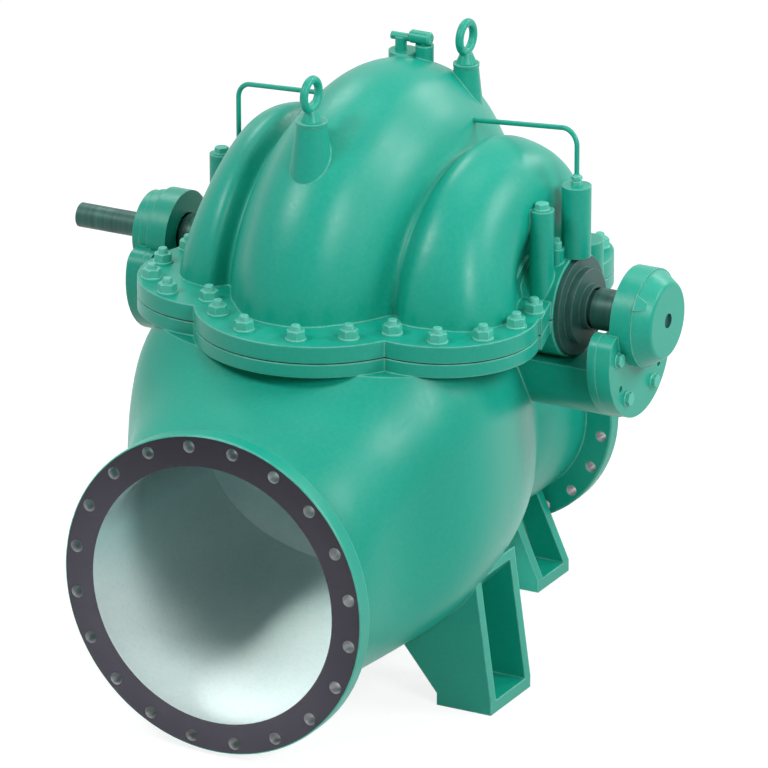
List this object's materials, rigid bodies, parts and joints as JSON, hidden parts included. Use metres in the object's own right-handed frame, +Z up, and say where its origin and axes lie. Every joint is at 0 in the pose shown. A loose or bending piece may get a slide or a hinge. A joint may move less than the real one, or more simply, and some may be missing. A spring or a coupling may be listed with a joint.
{
  "type": "horizontal split case double suction pump",
  "caption": "Horizontal split case centrifugal pump with in-line side nozzles on cast feet, lobed split flange, outboard bearings and a shaft that turns.",
  "frame": {"origin": "floor plane, midway between the anchor holes of the two front feet, in the pump's middle plane", "axes": "+X along the shaft to the closed bearing end, -Y towards the suction nozzle's pipe, +Z up"},
  "size_m": [1.582, 1.48, 1.51],
  "materials": {
    "bronze": "cast bronze",
    "casing_paint": "gloss teal green enamel over cast iron",
    "fastener_paint": "pale green painted steel",
    "gland_iron": "dark oiled iron",
    "shaft_steel": "dark oiled steel"
  },
  "bodies": {
    "casing": {"back_lifting_eye": "casing_paint", "casing_gasket": "casing_paint", "closed_bearing_cap": "casing_paint", "closed_bearing_housing": "casing_paint", "closed_box_plug": "fastener_paint", "closed_bracket_bolts": "fastener_paint", "closed_flush_nut": "casing_paint", "closed_flush_pipe": "casing_paint", "closed_gland": "gland_iron", "closed_wear_ring": "bronze", "drive_bearing_cover": "casing_paint", "drive_bearing_housing": "casing_paint", "drive_box_plug": "fastener_paint", "drive_bracket_bolts": "fastener_paint", "drive_flush_nut": "casing_paint", "drive_flush_pipe": "casing_paint", "drive_gland": "gland_iron", "drive_wear_ring": "bronze", "front_lifting_eye": "casing_paint", "lower_casing": "casing_paint", "priming_cock": "casing_paint", "priming_cock_handle": "casing_paint", "side_post_bolts": "fastener_paint", "split_flange_nuts": "fastener_paint", "upper_casing": "casing_paint"},
    "rotor": {"closed_deflector": "gland_iron", "closed_shaft_sleeve": "gland_iron", "drive_deflector": "gland_iron", "drive_shaft_sleeve": "gland_iron", "impeller": "bronze", "shaft": "shaft_steel"}
  },
  "joints": [
    {"name": "rotor_spin", "type": "hinge", "parent": "casing", "child": "rotor", "pos_m": [0, 0.28, 0.91], "axis": [1, 0, 0], "continuous": true}
  ]
}
